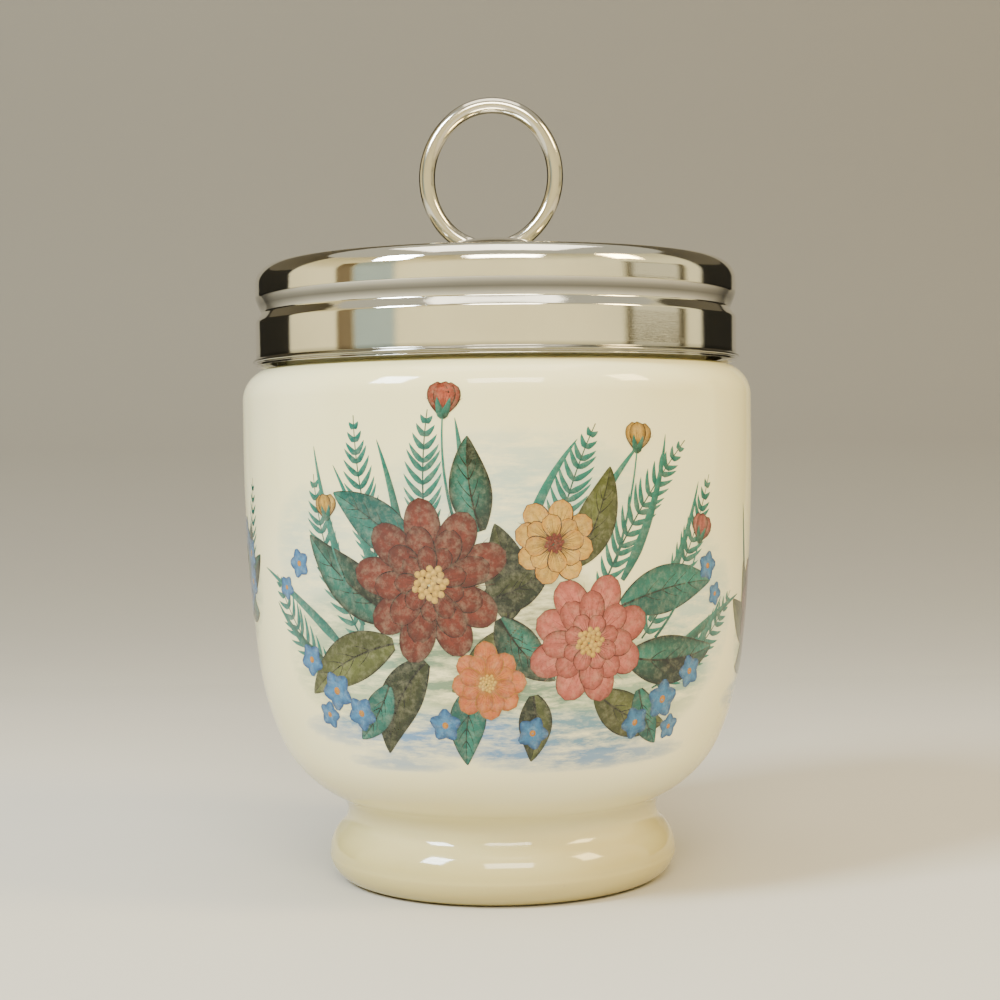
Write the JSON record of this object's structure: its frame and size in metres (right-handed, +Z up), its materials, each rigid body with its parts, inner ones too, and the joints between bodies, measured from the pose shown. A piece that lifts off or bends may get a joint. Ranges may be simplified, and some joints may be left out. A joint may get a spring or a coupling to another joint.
{
  "type": "porcelain egg coddler",
  "caption": "Footed porcelain egg coddler with a printed bowl, a screw-on metal lid and a fixed lift ring.",
  "frame": {"origin": "centre of the flat ring under the foot", "axes": "+Z up along the axis of the pot and lid; +Y away from the viewer, +X to the viewer's right"},
  "size_m": [0.066, 0.066, 0.1011],
  "materials": {
    "porcelain": "glossy clear glaze over ivory porcelain with a printed decoration",
    "polished_steel": "polished stainless sheet",
    "liner_steel": "bright pressed sheet",
    "seal_rubber": "soft food-grade rubber",
    "ring_steel": "polished round wire"
  },
  "bodies": {
    "pot": {"pot": "porcelain"},
    "seal": {"seal_ring": "seal_rubber"},
    "lid": {"lid_cover": "polished_steel", "lid_liner": "liner_steel", "ring_boss": "polished_steel", "rivet_washer": "liner_steel", "lift_ring": "ring_steel"}
  },
  "joints": [
    {"name": "lid_rise", "type": "slide", "parent": "pot", "child": "seal", "axis": [0, 0, 1], "range_m": [0, 0.005]},
    {"name": "lid_turn", "type": "hinge", "parent": "seal", "child": "lid", "pos_m": [0, 0, 0.0715], "axis": [0, 0, 1], "range_deg": [0, 360]}
  ],
  "couplings": [
    {"joint": "lid_rise", "follows": "lid_turn", "m_per_rad": 0.00079577}
  ]
}
